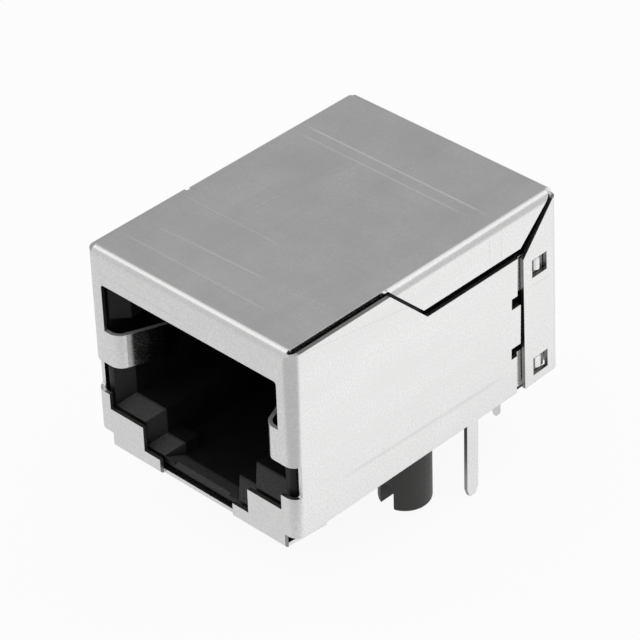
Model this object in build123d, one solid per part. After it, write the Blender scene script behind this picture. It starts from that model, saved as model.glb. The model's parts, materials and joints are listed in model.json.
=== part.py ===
from build123d import *
import os

os.makedirs("parts", exist_ok=True)

# Overall sizes in millimetres: X to the right seen from the front, Y to the rear, Z up from the board
WIDTH = 16.0
DEPTH = 21.66
HEIGHT = 13.62
HALF = WIDTH / 2
POSTS_FROM_FRONT = 11.1

# Shield sheet and its bends
SHEET = 0.25
BEND = 0.5
CORNER = 0.7
FOLD = SHEET + 0.05
INNER = HALF - SHEET

# Shield front: mouth cut-out, from the top edge down its two steps
OPEN_TOP = HEIGHT - 2.24
OPEN_HALF = HALF - 1.155
STEP_1_Z = 2.69
STEP_1_HALF = 4.18
STEP_2_Z = 1.03
STEP_2_HALF = 2.92
OPEN_CORNER_R = 0.2

# Ground fingers, and the slots below them that run round the corners
FINGER_Z = (5.92, 8.18)
FINGER_FLAT = 0.38
FINGER_R = 0.88
FINGER_ANGLE = 68
FINGER_LENGTH = 3.0
FINGER_TIP_R = 0.4
SLOT_Z = (3.73, FINGER_Z[0])
SLOT_DEPTH = 0.55
SLOT_R = 0.13

# Skirt and bottom flange, folded back from the front
SKIRT_X = (1.24 - HALF, HALF - 0.97)
FLANGE_HALF = (HALF - 1.0, HALF - 0.75)
FLANGE_END = 3.07
FLANGE_SETBACK = 0.3

# Side walls
SIDE_BOTTOM = 1.03
SIDE_TOP = HEIGHT - 0.23
TOP_BEND_HALF = HALF - 0.5
TOP_HALF = INNER - 0.2
NOTCH_Z = HEIGHT - 3.12
NOTCH_FRONT = (7.78, 10.74)
TAB_Y = DEPTH - 3.4
WALL_END = TAB_Y + 0.3
RELIEF_Y = TAB_Y - 0.48
RELIEF_HEIGHT = 0.75
LOW_TAB_Z = (SIDE_BOTTOM + 0.09, SIDE_BOTTOM + 2.64)
HIGH_TAB_Z = (NOTCH_Z - 2.58, NOTCH_Z - 0.2)

# Side flaps of the top
FLAP_Y = (7.87, DEPTH - BEND)
FLAP_LOW_Y = (10.44, DEPTH - 3.16)
FLAP_BOTTOM = HEIGHT - 2.55

# Rear panel, its wrapped flaps, latch windows and tabs
REAR_LEAN = 1.7
REAR_BEND_HALF = HALF - BEND
REAR_BOTTOM = 0.97
WRAP_Y = DEPTH - 3.0
WRAP_TOP = HEIGHT - 3.4
WRAP_PEAK_Y = DEPTH - 0.45
WINDOW_Y = (DEPTH - 2.27, DEPTH - 1.01)
WINDOW_HEIGHT = 1.24
LOW_WINDOW_Z = LOW_TAB_Z[0] + 0.41
HIGH_WINDOW_Z = HIGH_TAB_Z[0] + 0.61
TAB_OUT = INNER - 0.05
TAB_JOG = 0.3
TAB_END = DEPTH - 0.75
BUMP_WIDTH = 0.65
BUMP_HEIGHT = 1.05
BUMP_RISE = 0.24
BUMP_END = 0.15

# Ground pins at the foot of the side walls
GROUND_PIN_Y = 14.415
GROUND_PIN_WIDTH = 0.93
GROUND_PIN_TIP = -4.25
GROUND_PIN_TAPER = 0.6
GROUND_PIN_POINT = 0.5

# Housing shell
HOUSING_GAP = 0.2
HOUSING_HALF = INNER - HOUSING_GAP
HOUSING_FRONT = SHEET + HOUSING_GAP
HOUSING_END = DEPTH - 0.85
HOUSING_BOTTOM = SHEET + 0.37
HOUSING_TOP = HEIGHT - SHEET - 0.15
HOUSING_R = 0.45
TAB_ROOM = TAB_OUT - SHEET - 0.1
POST_X = 5.715
POST_R = 1.6
POST_BOTTOM = -3.55
POST_SLOT = 1.0
POST_SLOT_TOP = POST_BOTTOM / 2
POST_EDGE = 0.25
FOOT_X = (5.2, HOUSING_HALF - 0.65)
FOOT_LENGTH = 1.6

# Mouth of the housing: stepped outline, drawn in all round by a lead-in
MOUTH_HALF = OPEN_HALF
MOUTH_TOP = OPEN_TOP
LEDGE_1_Z = 2.72
LEDGE_1_HALF = 4.44
LEDGE_2_Z = 1.05
LEDGE_2_HALF = 3.01
LATCH_FLOOR = HOUSING_BOTTOM + 0.35
FLOOR_CHAMFER = 0.2
LEAD = 0.84
LEAD_END = HOUSING_FRONT + 0.93
FRAME_END = LEAD_END + 1.0

# Plug cavity, latch channel below it and pockets for the ground fingers
REAR_ROOM = 8.8
PLUG_HALF = MOUTH_HALF - LEAD
PLUG_FLOOR = LEDGE_1_Z + LEAD
PLUG_TOP = MOUTH_TOP - LEAD
PLUG_BACK = DEPTH - REAR_ROOM
LATCH_HALF = LEDGE_1_HALF - LEAD
LATCH_END = PLUG_BACK - 2.0
POCKET_Z = (FINGER_Z[0] - 0.2, FINGER_Z[1] + 0.6)
POCKET_END = 4.6

# Contacts and the comb that carries them
CONTACT_COUNT = 8
CONTACT_PITCH = 1.016
CONTACT_SIZE = (0.45, 0.3)
CONTACT_R = 0.45
CONTACT_DROP = 1.5
CONTACT_Z = HEIGHT - CONTACT_DROP
CONTACT_FRONT = 4.4
CONTACT_SLOPE = 24
TIP_ROOM = 1.2
CONTACT_REACH = PLUG_BACK - CONTACT_FRONT - TIP_ROOM
COMB_HALF = 4.9
COMB_Y = (3.4, PLUG_BACK + 0.9)
COMB_ROOF = 0.9
COMB_THICKNESS = 1.1
COMB_Z = (HEIGHT - COMB_ROOF - COMB_THICKNESS, HEIGHT - COMB_ROOF)
WINDOW_HALF = 4.1
FIT = 0.05

# Rear chamber with pin base, module board and signal pins
CHAMBER_HALF = HOUSING_HALF - 1.05
CHAMBER_FRONT = PLUG_BACK + 1.0
CHAMBER_TOP = HEIGHT - 0.85
BASE_TOP = 3.0
BOARD_THICKNESS = 1.0
BOARD_TOP = BASE_TOP + BOARD_THICKNESS
TAIL_Y = (CHAMBER_FRONT + 0.7, CHAMBER_FRONT + 1.7)
TAIL_END = BASE_TOP - 0.5
PIN_COUNT = 8
PIN_PITCH = 1.27
PIN_ROW_GAP = 2.54
PIN_REAR_Y = DEPTH - 1.16
PIN_SIZE = (0.45, 0.25)
PIN_TIP = -3.61
PIN_TOP = BOARD_TOP + 0.55
PIN_POINT = 0.2

# Coils, their carrier and the small parts on the board
CARRIER_Y = (DEPTH - 4.75, HOUSING_END - 0.15)
CARRIER_Z = (BOARD_TOP + 1.0, BOARD_TOP + 1.6)
CARRIER_LEG = 0.5
COIL_COUNT = 4
COIL_PITCH = (2 * CHAMBER_HALF - 0.4) / COIL_COUNT
COIL_Y = sum(CARRIER_Y) / 2
WINDING_R = COIL_PITCH / 2 - 0.08
WINDING_WALL = 0.18
CORE_R = WINDING_R - WINDING_WALL - FIT
CORE_HOLE_R = 0.59 * CORE_R
CORE_HEIGHT = 1.8
WINDING_ARC = 300
PEG_R = CORE_HOLE_R - WINDING_WALL - 2 * FIT
RESISTOR_SIZE = (1.6, 0.5, 0.45)
RESISTOR_Y = (TAIL_Y[1] + PIN_REAR_Y - PIN_ROW_GAP) / 2
CAPACITOR_SIZE = (3.2, 1.6, 0.9)


def box(x, y, z):
    """Block between two limits on each axis."""
    sizes = [b - a for a, b in (x, y, z)]
    centre = [(a + b) / 2 for a, b in (x, y, z)]
    return Pos(*centre) * Box(*sizes)


def wide(half, y, z):
    """Block of the given half width about the middle plane."""
    return box((-half, half), y, z)


def along_x(points, x):
    """Prism along X from an outline of (y, z) points."""
    face = Face(Wire.make_polygon([(x[0], b, c) for b, c in points]))
    return extrude(face, amount=x[1] - x[0], dir=(1, 0, 0))


def along_y(points, y):
    """Prism along Y from an outline of (x, z) points."""
    face = Face(Wire.make_polygon([(a, y[0], c) for a, c in points]))
    return extrude(face, amount=y[1] - y[0], dir=(0, 1, 0))


def along_z(points, z):
    """Prism along Z from an outline of (x, y) points."""
    face = Face(Wire.make_polygon([(a, b, z[0]) for a, b in points]))
    return extrude(face, amount=z[1] - z[0], dir=(0, 0, 1))


def both_sides(shape):
    """A right-hand shape together with its mirror image on the left."""
    return shape + mirror(shape, about=Plane.YZ)


def sheet_tube(plane, u, v, ends, bend=BEND):
    """Tube of bent sheet with rounded corners, between two stations on the plane's normal."""
    width = u[1] - u[0]
    height = v[1] - v[0]
    outer = RectangleRounded(width, height, bend)
    inner = RectangleRounded(width - 2 * SHEET, height - 2 * SHEET, bend - SHEET)
    ring = plane.offset(ends[0]) * Pos(sum(u) / 2, sum(v) / 2) * (outer - inner)
    return extrude(ring, amount=ends[1] - ends[0])


def save(name, shape):
    """Write one piece, moved so that the origin lies between the posts on the board."""
    export_step(Pos(0, -POSTS_FROM_FRONT, 0) * shape, f"parts/{name}.step")


def shield_walls():
    """Front panel and side walls: one strip bent round the two front corners."""
    strip = sheet_tube(Plane.XY, (-HALF, HALF), (0, 2 * DEPTH), (SIDE_BOTTOM, SIDE_TOP), CORNER)
    outline = [
        (-1, SIDE_BOTTOM),
        (TAB_Y, SIDE_BOTTOM),
        (TAB_Y, LOW_TAB_Z[1]),
        (RELIEF_Y, LOW_TAB_Z[1]),
        (RELIEF_Y, LOW_TAB_Z[1] + RELIEF_HEIGHT),
        (WALL_END, LOW_TAB_Z[1] + RELIEF_HEIGHT),
        (WALL_END, HIGH_TAB_Z[0] - RELIEF_HEIGHT),
        (RELIEF_Y, HIGH_TAB_Z[0] - RELIEF_HEIGHT),
        (RELIEF_Y, HIGH_TAB_Z[0]),
        (TAB_Y, HIGH_TAB_Z[0]),
        (TAB_Y, NOTCH_Z),
        (NOTCH_FRONT[1], NOTCH_Z),
        (NOTCH_FRONT[0], SIDE_TOP),
        (-1, SIDE_TOP),
    ]
    walls = strip & along_x(outline, (-HALF - 1, HALF + 1))
    walls -= wide(TOP_BEND_HALF, (-1, BEND), (HEIGHT - BEND, HEIGHT + 1))
    return walls


def shield_top():
    """Top panel with its front bend and the two side flaps over the rear half."""
    loop = sheet_tube(Plane.YZ, (0, 2 * DEPTH), (0, HEIGHT), (-TOP_BEND_HALF, TOP_BEND_HALF))
    bend = loop & wide(HALF, (0, BEND), (HEIGHT - BEND, HEIGHT))
    panel = wide(TOP_HALF, (BEND, DEPTH - BEND), (HEIGHT - SHEET, HEIGHT))
    arch = sheet_tube(Plane.ZX, (-HEIGHT, HEIGHT), (-HALF, HALF), FLAP_Y)
    outline = [
        (FLAP_Y[0], HEIGHT + 1),
        (FLAP_Y[0], HEIGHT - 0.05),
        (FLAP_LOW_Y[0], FLAP_BOTTOM),
        (FLAP_LOW_Y[1], FLAP_BOTTOM),
        (FLAP_Y[1], HEIGHT),
        (FLAP_Y[1], HEIGHT + 1),
    ]
    return bend + panel + (arch & along_x(outline, (-HALF - 1, HALF + 1)))


def shield_rear():
    """Rear panel with wrapped, windowed flaps, leaning back by the spring of its bend."""
    axis = Axis((0, DEPTH - BEND, HEIGHT - BEND), (-1, 0, 0))
    edge = Face(Wire.make_polygon([
        (-REAR_BEND_HALF, DEPTH - BEND, HEIGHT - SHEET),
        (REAR_BEND_HALF, DEPTH - BEND, HEIGHT - SHEET),
        (REAR_BEND_HALF, DEPTH - BEND, HEIGHT),
        (-REAR_BEND_HALF, DEPTH - BEND, HEIGHT),
    ]))
    bend = revolve(edge, axis, 90 - REAR_LEAN)
    strip = sheet_tube(Plane.XY, (-HALF, HALF), (-DEPTH, DEPTH), (REAR_BOTTOM, HEIGHT - BEND))
    outline = [
        (WRAP_Y, REAR_BOTTOM),
        (DEPTH + 1, REAR_BOTTOM),
        (DEPTH + 1, HEIGHT - BEND),
        (WRAP_PEAK_Y, HEIGHT - BEND),
        (WRAP_Y, WRAP_TOP),
    ]
    panel = strip & along_x(outline, (-HALF - 1, HALF + 1))
    for z in (LOW_WINDOW_Z, HIGH_WINDOW_Z):
        panel -= both_sides(box((INNER - 0.2, HALF + 1), WINDOW_Y, (z, z + WINDOW_HEIGHT)))
    return bend + panel.rotate(axis, -REAR_LEAN)


def latch_tab(z, window_z):
    """Joggled tab on the right-hand wall with the bump that snaps into a rear window."""
    jog = along_z([
        (HALF, TAB_Y),
        (INNER, TAB_Y),
        (TAB_OUT - SHEET, TAB_Y + TAB_JOG),
        (TAB_OUT, TAB_Y + TAB_JOG),
    ], z)
    plate = box((TAB_OUT - SHEET, TAB_OUT), (TAB_Y + TAB_JOG, TAB_END), z)
    mid_z = window_z + WINDOW_HEIGHT / 2
    lean = (HEIGHT - BEND - mid_z) * REAR_LEAN * 0.01745
    mid_y = sum(WINDOW_Y) / 2 + lean
    bump_x = TAB_OUT + BUMP_RISE - BUMP_WIDTH / 2
    bump = Cylinder(BUMP_WIDTH / 2, BUMP_HEIGHT)
    bump = chamfer(bump.edges().filter_by(GeomType.CIRCLE), BUMP_END)
    bump = Pos(bump_x, mid_y, mid_z) * bump & box((TAB_OUT - FIT, HALF), (TAB_Y, DEPTH), z)
    return jog + plate + bump


def ground_finger():
    """Right-hand finger, bent in beside the edge of the mouth."""
    start = OPEN_HALF - FINGER_FLAT
    axis = Axis((start, FINGER_R, 0), (0, 0, -1))
    edge = Face(Wire.make_polygon([
        (start, 0, FINGER_Z[0]),
        (start, SHEET, FINGER_Z[0]),
        (start, SHEET, FINGER_Z[1]),
        (start, 0, FINGER_Z[1]),
    ]))
    bend = revolve(edge, axis, FINGER_ANGLE)
    blade = box((start - FINGER_LENGTH, start), (0, SHEET), FINGER_Z)
    blade = fillet(blade.edges().filter_by(Axis.Y).group_by(Axis.X)[0], FINGER_TIP_R)
    return box((start, OPEN_HALF), (0, SHEET), FINGER_Z) + bend + blade.rotate(axis, FINGER_ANGLE)


def ground_pin():
    """Right-hand ground pin, in the plane of the side wall."""
    wide_half = GROUND_PIN_WIDTH / 2
    point_half = GROUND_PIN_POINT / 2
    shoulder = GROUND_PIN_TIP + GROUND_PIN_TAPER
    pin = along_x([
        (GROUND_PIN_Y - wide_half, SIDE_BOTTOM),
        (GROUND_PIN_Y - wide_half, shoulder),
        (GROUND_PIN_Y - point_half, GROUND_PIN_TIP),
        (GROUND_PIN_Y + point_half, GROUND_PIN_TIP),
        (GROUND_PIN_Y + wide_half, shoulder),
        (GROUND_PIN_Y + wide_half, SIDE_BOTTOM),
    ], (INNER, HALF))
    return fillet(pin.edges().filter_by(Axis.X).group_by(Axis.Z)[0], GROUND_PIN_POINT * 0.4)


def make_shield():
    """The whole folded sheet."""
    loop = sheet_tube(Plane.YZ, (0, 2 * DEPTH), (0, HEIGHT), SKIRT_X, FOLD)
    skirt = loop & wide(HALF, (0, FOLD), (0, SIDE_BOTTOM))
    flange = along_z([
        (-FLANGE_HALF[0], FOLD),
        (FLANGE_HALF[0], FOLD),
        (FLANGE_HALF[1], FLANGE_END),
        (-FLANGE_HALF[1], FLANGE_END),
    ], (0, SHEET))
    mouth = along_y([
        (OPEN_HALF, OPEN_TOP),
        (OPEN_HALF, STEP_1_Z),
        (STEP_1_HALF, STEP_1_Z),
        (STEP_1_HALF, STEP_2_Z),
        (STEP_2_HALF, STEP_2_Z),
        (STEP_2_HALF, -1),
        (-STEP_2_HALF, -1),
        (-STEP_2_HALF, STEP_2_Z),
        (-STEP_1_HALF, STEP_2_Z),
        (-STEP_1_HALF, STEP_1_Z),
        (-OPEN_HALF, STEP_1_Z),
        (-OPEN_HALF, OPEN_TOP),
    ], (-1, FLANGE_SETBACK))
    mouth = fillet(mouth.edges().filter_by(Axis.Y).group_by(Axis.Z)[-1], OPEN_CORNER_R)
    slot_face = RectangleRounded(SLOT_DEPTH + 1, SLOT_Z[1] - SLOT_Z[0], SLOT_R)
    slot_plane = Plane.YZ.offset(OPEN_HALF - 0.1)
    slot = extrude(slot_plane * Pos((SLOT_DEPTH - 1) / 2, sum(SLOT_Z) / 2) * slot_face, amount=HALF)
    body = shield_walls() + skirt + flange - mouth - both_sides(slot)
    side = latch_tab(LOW_TAB_Z, LOW_WINDOW_Z) + latch_tab(HIGH_TAB_Z, HIGH_WINDOW_Z)
    side += ground_finger() + ground_pin()
    return body + shield_top() + shield_rear() + both_sides(side)


def locating_post():
    """Right-hand split post below the housing."""
    post = Pos(POST_X, POSTS_FROM_FRONT, POST_BOTTOM) * Cylinder(
        POST_R, HOUSING_BOTTOM - POST_BOTTOM + FIT, align=(Align.CENTER, Align.CENTER, Align.MIN)
    )
    gap = (POST_X - POST_SLOT / 2, POST_X + POST_SLOT / 2)
    run = (POSTS_FROM_FRONT - 2 * POST_R, POSTS_FROM_FRONT + 2 * POST_R)
    post -= box(gap, run, (POST_BOTTOM - 1, POST_SLOT_TOP))
    return fillet(post.edges().group_by(Axis.Z)[0], POST_EDGE)


def mouth_outline(inset, floor):
    """Stepped outline of the mouth, drawn in by the given inset."""
    right = [
        (LEDGE_2_HALF - inset, floor),
        (LEDGE_2_HALF - inset, LEDGE_2_Z + inset),
        (LEDGE_1_HALF - inset, LEDGE_2_Z + inset),
        (LEDGE_1_HALF - inset, LEDGE_1_Z + inset),
        (MOUTH_HALF - inset, LEDGE_1_Z + inset),
        (MOUTH_HALF - inset, MOUTH_TOP - inset),
    ]
    return right + [(-x, z) for x, z in reversed(right)]


def mouth_space():
    """Room for the nose of the plug: sloping lead-in, then the frame behind which the latch catches."""
    ends = []
    for inset, y in ((0, HOUSING_FRONT), (LEAD, LEAD_END)):
        outline = mouth_outline(inset, LATCH_FLOOR)
        ends.append(Face(Wire.make_polygon([(x, y, z) for x, z in outline])))
    lead_in = loft(ends, ruled=True)
    frame = along_y(mouth_outline(LEAD, LATCH_FLOOR), (LEAD_END, FRAME_END))
    lip = LATCH_FLOOR + FIT
    edge = along_x([
        (HOUSING_FRONT - FIT, lip),
        (HOUSING_FRONT - FIT, lip - FLOOR_CHAMFER - 2 * FIT),
        (HOUSING_FRONT + FLOOR_CHAMFER + FIT, lip),
    ], (LEAD - LEDGE_2_HALF, LEDGE_2_HALF - LEAD))
    return lead_in + frame + edge


def make_housing():
    """Moulding with the stepped mouth, plug cavity, rear chamber, posts and feet."""
    shell = wide(HOUSING_HALF, (HOUSING_FRONT, HOUSING_END), (HOUSING_BOTTOM, HOUSING_TOP))
    shell = fillet(shell.edges().filter_by(Axis.Z).group_by(Axis.Y)[0], HOUSING_R)
    shell -= mouth_space()
    shell -= wide(PLUG_HALF, (LEAD_END, PLUG_BACK), (PLUG_FLOOR, PLUG_TOP))
    shell -= wide(LATCH_HALF, (FRAME_END, LATCH_END), (LATCH_FLOOR, PLUG_FLOOR))
    shell -= wide(MOUTH_HALF, (HOUSING_FRONT, POCKET_END), POCKET_Z)
    shell -= wide(WINDOW_HALF, (LEAD_END, PLUG_BACK), (PLUG_TOP - FIT, COMB_Z[0]))
    shell -= wide(COMB_HALF + FIT, (COMB_Y[0] - FIT, CHAMBER_FRONT + FIT), (COMB_Z[0] - FIT, COMB_Z[1] + FIT))
    shell -= wide(CHAMBER_HALF, (CHAMBER_FRONT, DEPTH), (-1, CHAMBER_TOP))
    shell -= both_sides(box((TAB_ROOM, HALF), (RELIEF_Y, DEPTH), (0, NOTCH_Z + 0.2)))
    shell += both_sides(box(FOOT_X, (HOUSING_END - FOOT_LENGTH, HOUSING_END), (0, HOUSING_BOTTOM)))
    return shell + both_sides(locating_post())


def contact_x(index):
    """Middle of one contact, counted from the left."""
    return (index - (CONTACT_COUNT - 1) / 2) * CONTACT_PITCH


def make_comb():
    """Comb above the plug cavity, slotted for the contact wires."""
    comb = wide(COMB_HALF, COMB_Y, COMB_Z)
    half = CONTACT_SIZE[0] / 2 + FIT
    for index in range(CONTACT_COUNT):
        x = contact_x(index)
        top = CONTACT_Z + CONTACT_SIZE[1] / 2 + FIT
        comb -= box((x - half, x + half), (COMB_Y[0] + 0.4, COMB_Y[1] + 1), (COMB_Z[0] - 1, top))
    return comb


def make_contact(index):
    """Spring wire: tail up from the board, run to the front, bend and sloping tip."""
    tail_y = TAIL_Y[index % 2]
    start = CONTACT_FRONT + CONTACT_R
    run = FilletPolyline((tail_y, TAIL_END), (tail_y, CONTACT_Z), (start, CONTACT_Z), radius=CONTACT_R)
    bend = JernArc((start, CONTACT_Z), (-1, 0), CONTACT_R, 180 - CONTACT_SLOPE)
    tip = Line(bend @ 1, (bend @ 1) + (bend % 1) * CONTACT_REACH)
    path = Plane.YZ.offset(contact_x(index)) * Wire([*run.edges(), *bend.edges(), *tip.edges()])
    section = Plane(path @ 0, x_dir=(1, 0, 0), z_dir=path % 0) * Rectangle(*CONTACT_SIZE)
    return sweep(section, path=path)


def pin_place(index):
    """Middle of one signal pin: two staggered rows."""
    x = (index - (PIN_COUNT - 1) / 2) * PIN_PITCH
    y = PIN_REAR_Y if index % 2 else PIN_REAR_Y - PIN_ROW_GAP
    return x, y


def pin_hole(index, z):
    """Hole with fit clearance for one signal pin."""
    x, y = pin_place(index)
    return Pos(x, y, sum(z) / 2) * Box(PIN_SIZE[0] + 2 * FIT, PIN_SIZE[1] + 2 * FIT, z[1] - z[0])


def tail_hole(index, z):
    """Hole with fit clearance for one contact tail."""
    centre = (contact_x(index), TAIL_Y[index % 2], sum(z) / 2)
    return Pos(*centre) * Box(CONTACT_SIZE[0] + 2 * FIT, CONTACT_SIZE[1] + 2 * FIT, z[1] - z[0])


def make_base():
    """Plastic base that fills the foot of the chamber and holds the signal pins."""
    base = wide(CHAMBER_HALF - FIT, (CHAMBER_FRONT + FIT, HOUSING_END), (HOUSING_BOTTOM, BASE_TOP))
    for index in range(PIN_COUNT):
        base -= pin_hole(index, (-1, BASE_TOP + 1))
        base -= tail_hole(index, (TAIL_END - 0.2, BASE_TOP + 1))
    return base


def make_board():
    """Module board on the base, with holes for pins and contact tails."""
    board = wide(CHAMBER_HALF - 2 * FIT, (CHAMBER_FRONT + 2 * FIT, HOUSING_END - FIT), (BASE_TOP, BOARD_TOP))
    for index in range(PIN_COUNT):
        board -= pin_hole(index, (BASE_TOP - 1, BOARD_TOP + 1))
        board -= tail_hole(index, (BASE_TOP - 1, BOARD_TOP + 1))
    return board


def make_pin(index):
    """Flat signal pin with a tapered tip."""
    x, y = pin_place(index)
    half = PIN_SIZE[0] / 2
    outline = [
        (x - half, PIN_TOP),
        (x - half, PIN_TIP + PIN_POINT),
        (x - half / 2, PIN_TIP),
        (x + half / 2, PIN_TIP),
        (x + half, PIN_TIP + PIN_POINT),
        (x + half, PIN_TOP),
    ]
    return along_y(outline, (y - PIN_SIZE[1] / 2, y + PIN_SIZE[1] / 2))


def coil_x(index):
    """Middle of one coil, counted from the left."""
    return (index - (COIL_COUNT - 1) / 2) * COIL_PITCH


def make_carrier():
    """Bridge over the board with one peg for each coil."""
    outer = CHAMBER_HALF - 2 * FIT
    carrier = wide(outer, CARRIER_Y, CARRIER_Z)
    carrier += both_sides(box((outer - CARRIER_LEG, outer), CARRIER_Y, (BOARD_TOP, CARRIER_Z[1])))
    for index in range(COIL_COUNT):
        peg = Cylinder(PEG_R, CORE_HEIGHT + 1, align=(Align.CENTER, Align.CENTER, Align.MIN))
        carrier += Pos(coil_x(index), COIL_Y, CARRIER_Z[1] - 0.3) * peg
    return carrier


def make_core(index):
    """Ferrite ring."""
    ring = Cylinder(CORE_R, CORE_HEIGHT) - Cylinder(CORE_HOLE_R, CORE_HEIGHT)
    middle = CARRIER_Z[1] + WINDING_WALL + FIT + CORE_HEIGHT / 2
    return Pos(coil_x(index), COIL_Y, middle) * ring


def make_winding(index):
    """Copper sleeve wound round most of the ring."""
    low = -CORE_HEIGHT / 2 - FIT
    inner_r = CORE_HOLE_R - FIT
    outer_r = CORE_R + FIT
    wall = WINDING_WALL
    section = Plane.XZ * Pos((inner_r + outer_r) / 2, 0) * (
        Rectangle(outer_r - inner_r + 2 * wall, 2 * (wall - low)) - Rectangle(outer_r - inner_r, -2 * low)
    )
    winding = revolve(section, Axis.Z, WINDING_ARC)
    middle = CARRIER_Z[1] + wall - low
    return Pos(coil_x(index), COIL_Y, middle) * winding


def make_chip(x, y, size):
    """Small part with end caps as one block on the board."""
    chip = Pos(x, y, BOARD_TOP) * Box(*size, align=(Align.CENTER, Align.CENTER, Align.MIN))
    return chamfer(chip.faces().sort_by(Axis.Z)[-1].edges(), 0.05)


save("shield", make_shield())
save("housing", make_housing())
save("contact_comb", make_comb())
for number in range(CONTACT_COUNT):
    save(f"contact_{number + 1}", make_contact(number))
save("pin_base", make_base())
save("module_board", make_board())
for number in range(PIN_COUNT):
    save(f"signal_pin_{number + 1}", make_pin(number))
save("coil_carrier", make_carrier())
for number in range(COIL_COUNT):
    save(f"coil_core_{number + 1}", make_core(number))
    save(f"coil_winding_{number + 1}", make_winding(number))
    save(f"resistor_{number + 1}", make_chip(coil_x(number), RESISTOR_Y, RESISTOR_SIZE))
save("capacitor", make_chip(0, PIN_REAR_Y - PIN_ROW_GAP / 2, CAPACITOR_SIZE))
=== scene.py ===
import bpy
import json
import math
from mathutils import Matrix, Vector


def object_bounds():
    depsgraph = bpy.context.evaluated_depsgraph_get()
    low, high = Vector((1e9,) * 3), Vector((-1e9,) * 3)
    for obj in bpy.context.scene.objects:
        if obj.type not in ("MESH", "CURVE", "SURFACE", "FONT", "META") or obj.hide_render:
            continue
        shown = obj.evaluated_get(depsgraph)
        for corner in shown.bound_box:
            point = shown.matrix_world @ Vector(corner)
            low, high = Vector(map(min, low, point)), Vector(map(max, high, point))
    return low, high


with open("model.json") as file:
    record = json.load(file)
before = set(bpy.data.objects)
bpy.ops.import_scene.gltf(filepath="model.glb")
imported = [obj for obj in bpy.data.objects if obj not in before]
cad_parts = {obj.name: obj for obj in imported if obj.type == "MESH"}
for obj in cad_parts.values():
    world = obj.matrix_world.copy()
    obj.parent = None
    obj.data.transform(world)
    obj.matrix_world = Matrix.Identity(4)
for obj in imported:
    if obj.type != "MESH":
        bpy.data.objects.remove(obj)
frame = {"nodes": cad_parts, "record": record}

cad_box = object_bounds()
scene = bpy.context.scene
nodes = frame["nodes"]

MILLIMETRE = 0.001


def mm(*values):
    """Vector in metres from lengths in millimetres."""
    return Vector(values) * MILLIMETRE


def grey(value, warm=0.0):
    """Opaque grey, a little redder where warm is above zero."""
    return (value * (1 + warm), value, value * (1 - warm), 1)


def add_object(name, data):
    piece = bpy.data.objects.new(name, data)
    scene.collection.objects.link(piece)
    return piece


# Camera, from the view fitted to the photograph; lengths in millimetres, focal length in pixels
IMAGE_WIDTH = 640
FOCAL_LENGTH = 3351.834
SENSOR_WIDTH = 36
CLIP_START, CLIP_END = 0.01, 10
AZIMUTH = math.radians(45.109)
ELEVATION = math.radians(35.620)
ROLL = math.radians(-2.022)
TARGET = (0, -0.1, 7.72)
DISTANCE, TO_RIGHT, UPWARD = 191.164, -0.443, -1.1334


def place_camera():
    back = Vector((
        math.sin(AZIMUTH) * math.cos(ELEVATION),
        -math.cos(AZIMUTH) * math.cos(ELEVATION),
        math.sin(ELEVATION),
    ))
    level = Vector((math.cos(AZIMUTH), math.sin(AZIMUTH), 0))
    above = back.cross(level)
    right = level * math.cos(ROLL) + above * math.sin(ROLL)
    up = above * math.cos(ROLL) - level * math.sin(ROLL)
    offset = back * DISTANCE + right * TO_RIGHT + up * UPWARD
    data = bpy.data.cameras.new("camera")
    data.sensor_fit = "HORIZONTAL"
    data.sensor_width = SENSOR_WIDTH
    data.lens = SENSOR_WIDTH * FOCAL_LENGTH / IMAGE_WIDTH
    data.clip_start = CLIP_START
    data.clip_end = CLIP_END
    camera = add_object("camera", data)
    turn = Matrix((right, up, back)).transposed()
    place = mm(*TARGET) + offset * MILLIMETRE
    camera.matrix_world = Matrix.Translation(place) @ turn.to_4x4()
    scene.camera = camera


place_camera()


# Node helpers
class Tree:
    """One node tree; each helper adds a node and returns its output."""

    def __init__(self, tree):
        self.tree = tree

    def feed(self, socket, value):
        """Link an output to the socket, or set the socket's constant."""
        if isinstance(value, bpy.types.NodeSocket):
            self.tree.links.new(value, socket)
        else:
            socket.default_value = value

    def new(self, kind, inputs=None, **settings):
        node = self.tree.nodes.new(kind)
        for key, value in settings.items():
            setattr(node, key, value)
        for key, value in (inputs or {}).items():
            self.feed(node.inputs[key], value)
        return node

    def math(self, operation, a, b=0.0):
        return self.new("ShaderNodeMath", {0: a, 1: b}, operation=operation).outputs[0]

    def vector(self, operation, a, b=(0, 0, 0)):
        node = self.new("ShaderNodeVectorMath", {0: a, 1: b}, operation=operation)
        is_number = operation in ("DOT_PRODUCT", "DISTANCE", "LENGTH")
        return node.outputs["Value" if is_number else "Vector"]

    def ramp(self, value, span, to=(0.0, 1.0)):
        inputs = {"Value": value}
        inputs["From Min"], inputs["From Max"] = span
        inputs["To Min"], inputs["To Max"] = to
        return self.new("ShaderNodeMapRange", inputs, clamp=True).outputs["Result"]

    def over(self, value, limit):
        return self.math("GREATER_THAN", value, limit)

    def under(self, value, limit):
        return self.math("LESS_THAN", value, limit)

    def size(self, value):
        return self.math("ABSOLUTE", value)

    def rest(self, share):
        return self.math("SUBTRACT", 1.0, share)

    def product(self, first, *others):
        for other in others:
            first = self.math("MULTIPLY", first, other)
        return first

    def largest(self, first, *others):
        for other in others:
            first = self.math("MAXIMUM", first, other)
        return first

    def blend(self, factor, a, b):
        return self.new("ShaderNodeMixShader", {0: factor, 1: a, 2: b}).outputs[0]


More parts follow.
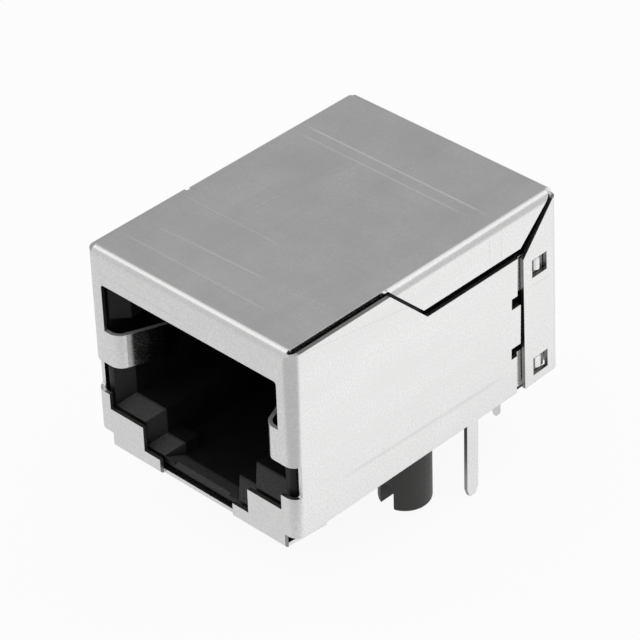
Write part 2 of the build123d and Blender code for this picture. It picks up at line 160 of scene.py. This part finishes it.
class Surface(Tree):
    """A material on the CAD frame's own coordinates."""

    def __init__(self, name):
        self.name = name
        self.material = bpy.data.materials.new(name)
        self.material.use_nodes = True
        super().__init__(self.material.node_tree)
        self.shader = self.tree.nodes["Principled BSDF"]
        self.place = self.new("ShaderNodeTexCoord").outputs["Object"]

    def spot(self):
        """The place's x, y and z in millimetres."""
        per_metre = 1 / MILLIMETRE
        inputs = {0: self.place, "Scale": per_metre}
        scaled = self.new("ShaderNodeVectorMath", inputs, operation="SCALE").outputs["Vector"]
        return self.new("ShaderNodeSeparateXYZ", {0: scaled}).outputs

    def facing(self):
        """The x, y and z of the face's own normal."""
        normal = self.new("ShaderNodeNewGeometry").outputs["True Normal"]
        return self.new("ShaderNodeSeparateXYZ", {0: normal}).outputs

    def noise(self, scale=1, detail=3, rough=0.5, stretch=None):
        vector = self.place
        if stretch:
            inputs = {"Vector": self.place, "Scale": stretch}
            vector = self.new("ShaderNodeMapping", inputs).outputs["Vector"]
        inputs = {"Vector": vector, "Scale": scale, "Detail": detail, "Roughness": rough}
        return self.new("ShaderNodeTexNoise", inputs).outputs["Fac"]

    def mix(self, factor, a, b):
        """Mix of two colours; the colour sockets come after the number and vector ones."""
        inputs = {"Factor": factor, 6: a, 7: b}
        return self.new("ShaderNodeMix", inputs, data_type="RGBA").outputs[2]

    def bevel(self, radius):
        inputs = {"Radius": radius * MILLIMETRE}
        return self.new("ShaderNodeBevel", inputs, samples=4).outputs["Normal"]

    def bump(self, height, distance, strength, normal=None):
        inputs = {"Height": height, "Distance": distance * MILLIMETRE, "Strength": strength}
        if normal is not None:
            inputs["Normal"] = normal
        return self.new("ShaderNodeBump", inputs).outputs["Normal"]

    def finish(self, **values):
        """Feed the shader's sockets and return the slot's name with its material."""
        for key, value in values.items():
            self.feed(self.shader.inputs[key.replace("_", " ")], value)
        return self.name, self.material


NOISE_SPAN = (0.3, 0.7)

# Marks on the sheet: start and end in millimetres, half width and strength
TOP, SIDE, FRONT = 13.62, 8, -11.1
BRIGHT_MARKS = (
    ((-7.7, 5.85, TOP), (7.2, 5.88, TOP), 0.1, 1.0),
    ((-7.5, 5.0, TOP), (6.5, 5.02, TOP), 0.08, 0.65),
    ((-7.6, -8.9, TOP), (4.9, -8.88, TOP), 0.08, 0.5),
    ((-6.4, -7.2, TOP), (2.3, -6.8, TOP), 0.08, 0.55),
    ((-7.7, -4.0, TOP), (0.4, -3.95, TOP), 0.08, 0.45),
    ((3.86, -6.85, TOP), (6.4, -6.46, TOP), 0.07, 0.3),
    ((-3.5, -2.9, TOP), (-3.2, 0.4, TOP), 0.07, 0.3),
)
DARK_MARKS = (
    ((SIDE, -10.56, 13.34), (SIDE, -1.21, 11.88), 0.03, 1.0),
    ((SIDE, 4.74, 13.02), (SIDE, 4.8, 11.5), 0.03, 1.0),
    ((SIDE, 5.72, 13.05), (SIDE, 5.77, 11.2), 0.04, 1.0),
    ((SIDE, 8.05, 7.97), (SIDE, 9.99, 7.91), 0.05, 1.0),
    ((SIDE, -7.63, 3.3), (SIDE, 6.1, 2.85), 0.2, 0.6),
    ((-7.5, FRONT, 12.15), (1.1, FRONT, 11.95), 0.03, 1.0),
)
MARK_STARTS, MARK_ENDS = 0.1, 0.88


def scratch(m, start, end, width, strength):
    """Soft line on the surface that fades at both ends."""
    start, end = mm(*start), mm(*end)
    length = (end - start).length
    along = (end - start).normalized()
    offset = m.vector("SUBTRACT", m.place, start)
    way = m.vector("DOT_PRODUCT", offset, along)
    apart = m.vector("DISTANCE", offset, m.vector("PROJECT", offset, along))
    line = m.ramp(apart, (0, width * MILLIMETRE), (1, 0))
    fade_in = m.ramp(way, (0, length * MARK_STARTS), (0, strength))
    fade_out = m.ramp(way, (length * MARK_ENDS, length), (1, 0))
    return m.product(line, fade_in, fade_out)


def marks(m, rows):
    return m.largest(*[scratch(m, *row) for row in rows])


# Limits of the shield's bare places and of its painted shade, in millimetres
WALL_INSIDE, WALL_FRONT = 7.72, -10.4
FAR_EDGE = 12.9
PANEL_INSIDE, PANEL_SIDE, PANEL_TOP = -10.84, 7.3, 11.9
BLADE_STARTS, BLADE_ENDS = (-10.35, -10.15), -6
BLADE_SIDE, BLADE_LOW, BLADE_HIGH = 6.6, 5.8, 8.3
FINGER_TOP_LOW, FINGER_TOP_HIGH = 7.9, 8.4
EDGE_ON, FACES_UP = 0.3, 0.5


def cut_edges(m, spot, facing):
    """Where the sheet was sheared: faces across its thickness on the sides and round the mouth.
    The left wall's top edge is left out where it catches a highlight, so only the right wall's top
    edge is darkened, as painted shade as well as bare steel.
    """
    x, y, z = spot
    across_x, across_y = [m.under(m.size(facing[axis]), EDGE_ON) for axis in range(2)]
    # the left wall's top edge, left out of the darkening where it catches a highlight
    far = m.product(m.under(x, 0), m.over(z, FAR_EDGE))
    side = m.product(m.over(m.size(x), WALL_INSIDE), across_x, m.over(y, WALL_FRONT), m.rest(far))
    panel = m.product(m.under(y, PANEL_INSIDE), across_y)
    front = m.product(panel, m.under(m.size(x), PANEL_SIDE), m.under(z, PANEL_TOP))
    return m.largest(side, front)


def finger_blades(m, spot):
    """The bent-in part of the ground fingers, painted dark as painted shade for the dark inside of
    the mouth that they reflect.
    """
    x, y, z = spot
    depth = m.product(m.ramp(y, BLADE_STARTS), m.under(y, BLADE_ENDS))
    height = m.product(m.over(z, BLADE_LOW), m.under(z, BLADE_HIGH))
    return m.product(depth, m.under(m.size(x), BLADE_SIDE), height)


def finger_tops(m, spot, facing):
    """The plated upper edges of the ground fingers."""
    x, _, z = spot
    height = m.product(m.over(z, FINGER_TOP_LOW), m.under(z, FINGER_TOP_HIGH))
    return m.product(m.over(facing[2], FACES_UP), height, m.under(m.size(x), PANEL_SIDE))


# Tin-plated sheet: cloudy plating with fine grain, rolling lines, scratches and bare cut edges;
# painted shade on the finger blades and along the right wall's top edge
TIN_CLOUDS = grey(0.89, 0.003), grey(0.96, 0.002)
TIN_SPECKLE = grey(0.805, 0.004)
TIN_SMUDGE = grey(0.82, 0.004)
TIN_LINES = grey(0.84, 0.004)
DARK_MARK, DARK_SHARE = grey(0.45, 0.01), 0.35
BRIGHT_MARK = grey(1.0)
# bare steel on the cut edges, and painted shade along the right wall's top edge
BARE_EDGE_AND_SHADE = grey(0.3, 0.03)
# painted shade for the finger blades, which reflect the dark inside of the mouth
BLADE_SHADE_TINTS = grey(0.2, 0.02), grey(0.5, 0.02)
CLOUD_ROUGH, LINE_ROUGH = (0.19, 0.225), (0, 0.05)
BARE_ROUGH, MARK_ROUGH, FINGER_TOP_ROUGH = 0.42, 0.16, 0.6
BLADE_GLOSS = 0.5


def tin_sheet():
    m = Surface("tin_sheet")
    spot, facing = m.spot(), m.facing()
    cloud = m.noise(300, detail=4)
    lines = m.noise(detail=2, stretch=(150, 9000, 9000))
    grain = m.noise(7000, detail=2, rough=0.6)
    smudge = m.noise(rough=0.6, stretch=(700, 90, 700))
    dark, bright = marks(m, DARK_MARKS), marks(m, BRIGHT_MARKS)
    tops = finger_tops(m, spot, facing)
    # bare cut edges, with painted shade on the right wall's top edge
    bare_edge_and_shade = m.product(cut_edges(m, spot, facing), m.rest(tops))
    # painted shade on the finger blades, kept off their plated tops
    blade_shade = m.product(finger_blades(m, spot), m.rest(tops))

    less_on_top = m.ramp(facing[2], (0.5, 0.9), (1, 0.5))
    layers = (
        (m.product(m.ramp(grain, NOISE_SPAN), less_on_top), TIN_SPECKLE),
        (m.ramp(smudge, (0.48, 0.72), (0, 0.5)), TIN_SMUDGE),
        (m.ramp(lines, (0.5, 0.75), (0, 0.3)), TIN_LINES),
        (m.product(dark, DARK_SHARE), DARK_MARK),
        (bright, BRIGHT_MARK),
        (bare_edge_and_shade, BARE_EDGE_AND_SHADE),
        (blade_shade, m.mix(m.ramp(grain, (0.45, 0.65)), *BLADE_SHADE_TINTS)),
    )
    colour = m.mix(m.ramp(cloud, NOISE_SPAN), *TIN_CLOUDS)
    for share, tint in layers:
        colour = m.mix(share, colour, tint)

    rough = m.ramp(cloud, NOISE_SPAN, CLOUD_ROUGH)
    rough = m.math("ADD", rough, m.ramp(lines, (0.4, 0.7), LINE_ROUGH))
    rough = m.largest(rough, m.product(bare_edge_and_shade, BARE_ROUGH))
    rough = m.math("ADD", rough, m.product(bright, MARK_ROUGH))
    rough = m.largest(rough, m.product(tops, FINGER_TOP_ROUGH))
    rough = m.product(rough, m.rest(m.product(blade_shade, BLADE_GLOSS)))

    height = m.math("ADD", m.product(lines, 0.5), m.product(grain, 0.5))
    normal = m.bump(height, distance=0.004, strength=0.25, normal=m.bevel(0.04))
    return m.finish(Base_Color=colour, Roughness=rough, Normal=normal, Metallic=1.0)


# Moulded plastic; painted light may be put on the lead-in ledges' upward faces and on the low
# parts under the housing
LEDGE_BACK = (-9.85, -9.7)
POST_TOP = (0.3, 0.7)


def plastic(name, low, high, rough=0.42, shine=0.5, painted_ledge_light=None, painted_light_below=None):
    m = Surface(name)
    cloud = m.noise(600)
    grain = m.noise(9000, detail=2)
    colour = m.mix(m.ramp(cloud, (0.35, 0.7)), low, high)
    if painted_ledge_light:
        upward = m.ramp(m.facing()[2], (0.4, 0.7))
        ledge = m.ramp(m.spot()[1], LEDGE_BACK, (1, 0))
        ledge_grain = m.ramp(grain, (0.3, 0.6), (0.5, 1))
        # painted light: lighter grey on the ledges' upward faces near the front
        colour = m.mix(m.product(upward, ledge, ledge_grain), colour, painted_ledge_light)
    if painted_light_below:
        # painted light: lighter grey on the posts below 0.3 mm, back to the plain colour by 0.7
        # mm, so darker towards the housing
        colour = m.mix(m.ramp(m.spot()[2], POST_TOP, (1, 0)), colour, painted_light_below)
    return m.finish(
        Base_Color=colour,
        Roughness=m.ramp(grain, NOISE_SPAN, (rough - 0.06, rough + 0.08)),
        Normal=m.bump(grain, distance=0.015, strength=0.4, normal=m.bevel(0.06)),
        Specular_IOR_Level=shine,
    )


# Plated or enamelled metal on the small pieces
def plated(name, low, high, rough=0.28, stretch=(6000, 6000, 300)):
    m = Surface(name)
    streak = m.noise(detail=2, stretch=stretch)
    cloud = m.noise(900)
    return m.finish(
        Base_Color=m.mix(m.ramp(cloud, NOISE_SPAN), low, high),
        Roughness=m.ramp(streak, NOISE_SPAN, (rough - 0.06, rough + 0.1)),
        Normal=m.bump(streak, distance=0.006, strength=0.3),
        Metallic=1.0,
    )


materials = dict([
    tin_sheet(),
    # the black plastic gets painted light on its ledges and on its posts
    plastic(
        "black_plastic", grey(0.009, 0.02), grey(0.013, 0.02), shine=0.24,
        painted_ledge_light=grey(0.062, 0.02), painted_light_below=grey(0.064, 0.03),
    ),
    plastic("natural_plastic", (0.42, 0.36, 0.27, 1), (0.5, 0.44, 0.34, 1)),
    plated("gold_plate", (0.75, 0.5, 0.16, 1), (0.85, 0.6, 0.24, 1)),
    plated("tin_pin", grey(0.6), grey(0.72)),
    plastic("board_green", (0.015, 0.1, 0.035, 1), (0.02, 0.14, 0.05, 1), rough=0.3),
    plastic("ferrite", grey(0.03), grey(0.05), rough=0.55),
    plated(
        "copper", (0.5, 0.16, 0.06, 1), (0.62, 0.24, 0.1, 1), rough=0.3,
        stretch=(900, 900, 9000),
    ),
    plastic("chip_dark", grey(0.02), grey(0.035), rough=0.25),
    plastic("chip_tan", (0.4, 0.26, 0.13, 1), (0.5, 0.34, 0.18, 1), rough=0.4),
])
slots = {entry["node"]: entry["material_slot"] for entry in frame["record"]["subparts"]}
for name, node in nodes.items():
    node.data.materials.clear()
    node.data.materials.append(materials[slots[name]])


# Floor, world and light; lengths in metres
WHITE = grey(1.0)
TO_VIEWER, ACROSS_VIEW, SIDEWAYS = (0.707, -0.707, 0), (0.707, 0.707, 0), (1, 0, 0)
FLOOR_REACH = 2
FLOOR_COLOUR = grey(0.9)
FLOOR_SHOWN, FLOOR_MIRRORED = 0.93, 0.95
FLOOR_NEAR_VIEWER, FLOOR_FAR = 0.52, 0.68
ROOM_ASIDE, ROOM_AHEAD = 0.62, 0.354


def emptied(owner):
    """The owner's node tree, with nothing in it."""
    owner.use_nodes = True
    owner.node_tree.nodes.clear()
    return Tree(owner.node_tree)


def seen_by(t, share, *rays):
    """The share for these kinds of ray, and nothing for the others."""
    path = t.new("ShaderNodeLightPath").outputs
    return t.product(t.largest(*[path[ray] for ray in rays]), share)


def along(t, coordinate, direction):
    """Distance along a direction of the given coordinate."""
    return t.vector("DOT_PRODUCT", t.new("ShaderNodeTexCoord").outputs[coordinate], direction)


def mirrored_floor(t):
    """The floor's brightness in reflections, with the object's shadow painted in: even far off,
    dimmer towards the viewer.
    """
    before_front = t.ramp(along(t, "Object", ACROSS_VIEW), (-0.0072, 0.0028), (0.81, 1.0))
    beside = t.ramp(along(t, "Object", SIDEWAYS), (0.011, 0.018), (0.88, 1.0))
    ahead = t.ramp(along(t, "Object", TO_VIEWER), (0.0155, 0.0245))
    inputs = {"Factor": ahead, "A": t.product(before_front, beside), "B": FLOOR_NEAR_VIEWER}
    near = t.new("ShaderNodeMix", inputs).outputs[0]
    reach = t.vector("LENGTH", t.new("ShaderNodeTexCoord").outputs["Object"])
    return t.ramp(reach, (0.035, 0.08), (near, FLOOR_FAR))


def make_floor():
    low = cad_box[0][2]
    around = ((-1, -1), (1, -1), (1, 1), (-1, 1))
    corners = [(FLOOR_REACH * x, FLOOR_REACH * y, low) for x, y in around]
    mesh = bpy.data.meshes.new("floor")
    mesh.from_pydata(corners, [], [(0, 1, 2, 3)])
    floor = add_object("floor", mesh)
    material = bpy.data.materials.new("floor")
    t = emptied(material)
    plain = t.new("ShaderNodeBsdfDiffuse", {"Color": FLOOR_COLOUR}).outputs[0]
    white = t.new("ShaderNodeEmission", {"Color": WHITE}).outputs[0]
    dim = t.new("ShaderNodeEmission", {"Color": WHITE, "Strength": mirrored_floor(t)}).outputs[0]
    seen = t.blend(seen_by(t, FLOOR_SHOWN, "Is Camera Ray", "Is Transmission Ray"), plain, white)
    surface = t.blend(seen_by(t, FLOOR_MIRRORED, "Is Glossy Ray"), seen, dim)
    t.new("ShaderNodeOutputMaterial", {"Surface": surface})
    mesh.materials.append(material)


def make_world():
    """A dim room, white where the camera looks into it."""
    world = bpy.data.worlds.new("studio")
    scene.world = world
    t = emptied(world)
    ahead = t.size(along(t, "Generated", TO_VIEWER))
    strength = t.ramp(ahead, (0.3, 0.75), (ROOM_ASIDE, ROOM_AHEAD))
    room = t.new("ShaderNodeBackground", {"Color": WHITE, "Strength": strength}).outputs[0]
    white = t.new("ShaderNodeBackground", {"Color": WHITE}).outputs[0]
    surface = t.blend(seen_by(t, 1.0, "Is Camera Ray"), room, white)
    t.new("ShaderNodeOutputWorld", {"Surface": surface})


def add_light(name, place, size, power, turn):
    """A level lamp that shines down, turned about the vertical."""
    data = bpy.data.lights.new(name, "AREA")
    data.shape = "RECTANGLE"
    data.size, data.size_y = size
    data.energy = power
    light = add_object(name, data)
    spin = Matrix.Rotation(math.radians(turn), 4, "Z")
    light.matrix_world = Matrix.Translation(Vector(place)) @ spin


make_floor()
make_world()
add_light("overhead", place=(0.070, -0.036, 0.3), size=(0.62, 0.66), power=0.52, turn=49)
scene.view_settings.view_transform = "Standard"
